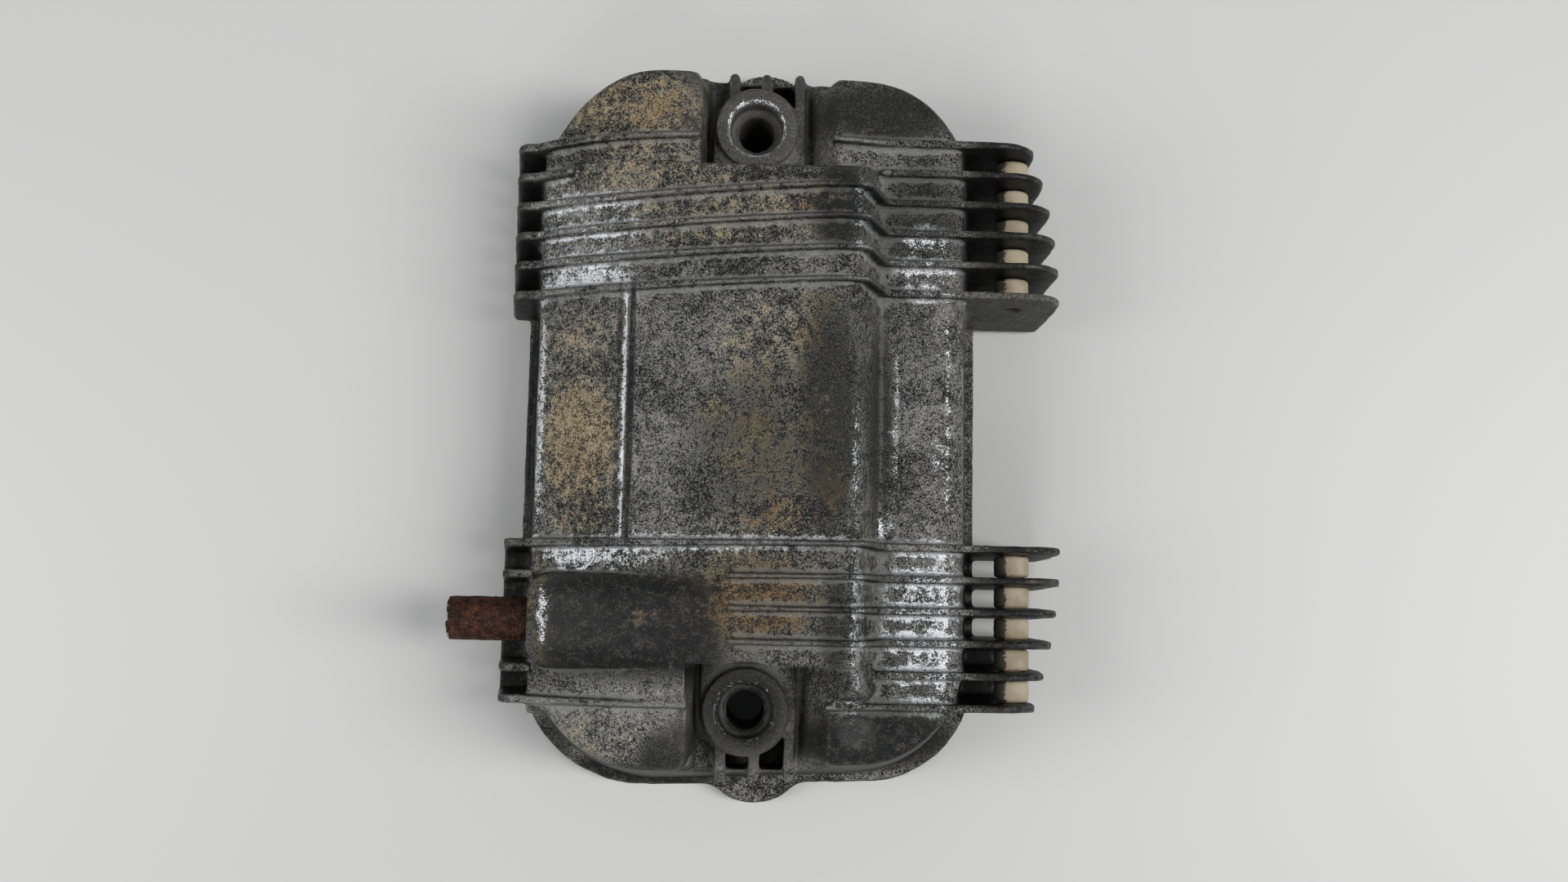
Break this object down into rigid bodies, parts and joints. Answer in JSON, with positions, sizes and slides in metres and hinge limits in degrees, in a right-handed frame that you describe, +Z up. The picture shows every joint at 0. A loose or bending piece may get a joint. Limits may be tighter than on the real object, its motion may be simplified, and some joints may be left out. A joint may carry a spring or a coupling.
{
  "type": "engine valve cover",
  "caption": "Cast finned valve cover, hollow below, with a raised crown, bolt bosses, breather tube, rubber fin dampers and flat gasket.",
  "frame": {"origin": "midway between the two bolt axes, on the sealing plane under the gasket", "axes": "+Z up and away from the cylinder head along the bolts, +Y along the line from one bolt to the other, +X towards the fin dampers, -X towards the breather tube"},
  "size_m": [0.1631, 0.2128, 0.062],
  "materials": {
    "cast_aluminium": "sand cast, blackened and corroded",
    "tube_steel": "rusted",
    "damper_rubber": "dull, aged",
    "gasket_rubber": "dull black",
    "baffle_steel": "plated, oil stained"
  },
  "bodies": {
    "root": {"cover_casting": "cast_aluminium", "breather_tube": "tube_steel", "fin_damper_upper": "damper_rubber", "fin_damper_lower": "damper_rubber", "gasket": "gasket_rubber", "breather_baffle": "baffle_steel", "baffle_screw_1": "baffle_steel", "baffle_screw_2": "baffle_steel", "baffle_screw_3": "baffle_steel", "baffle_screw_4": "baffle_steel"}
  },
  "joints": []
}
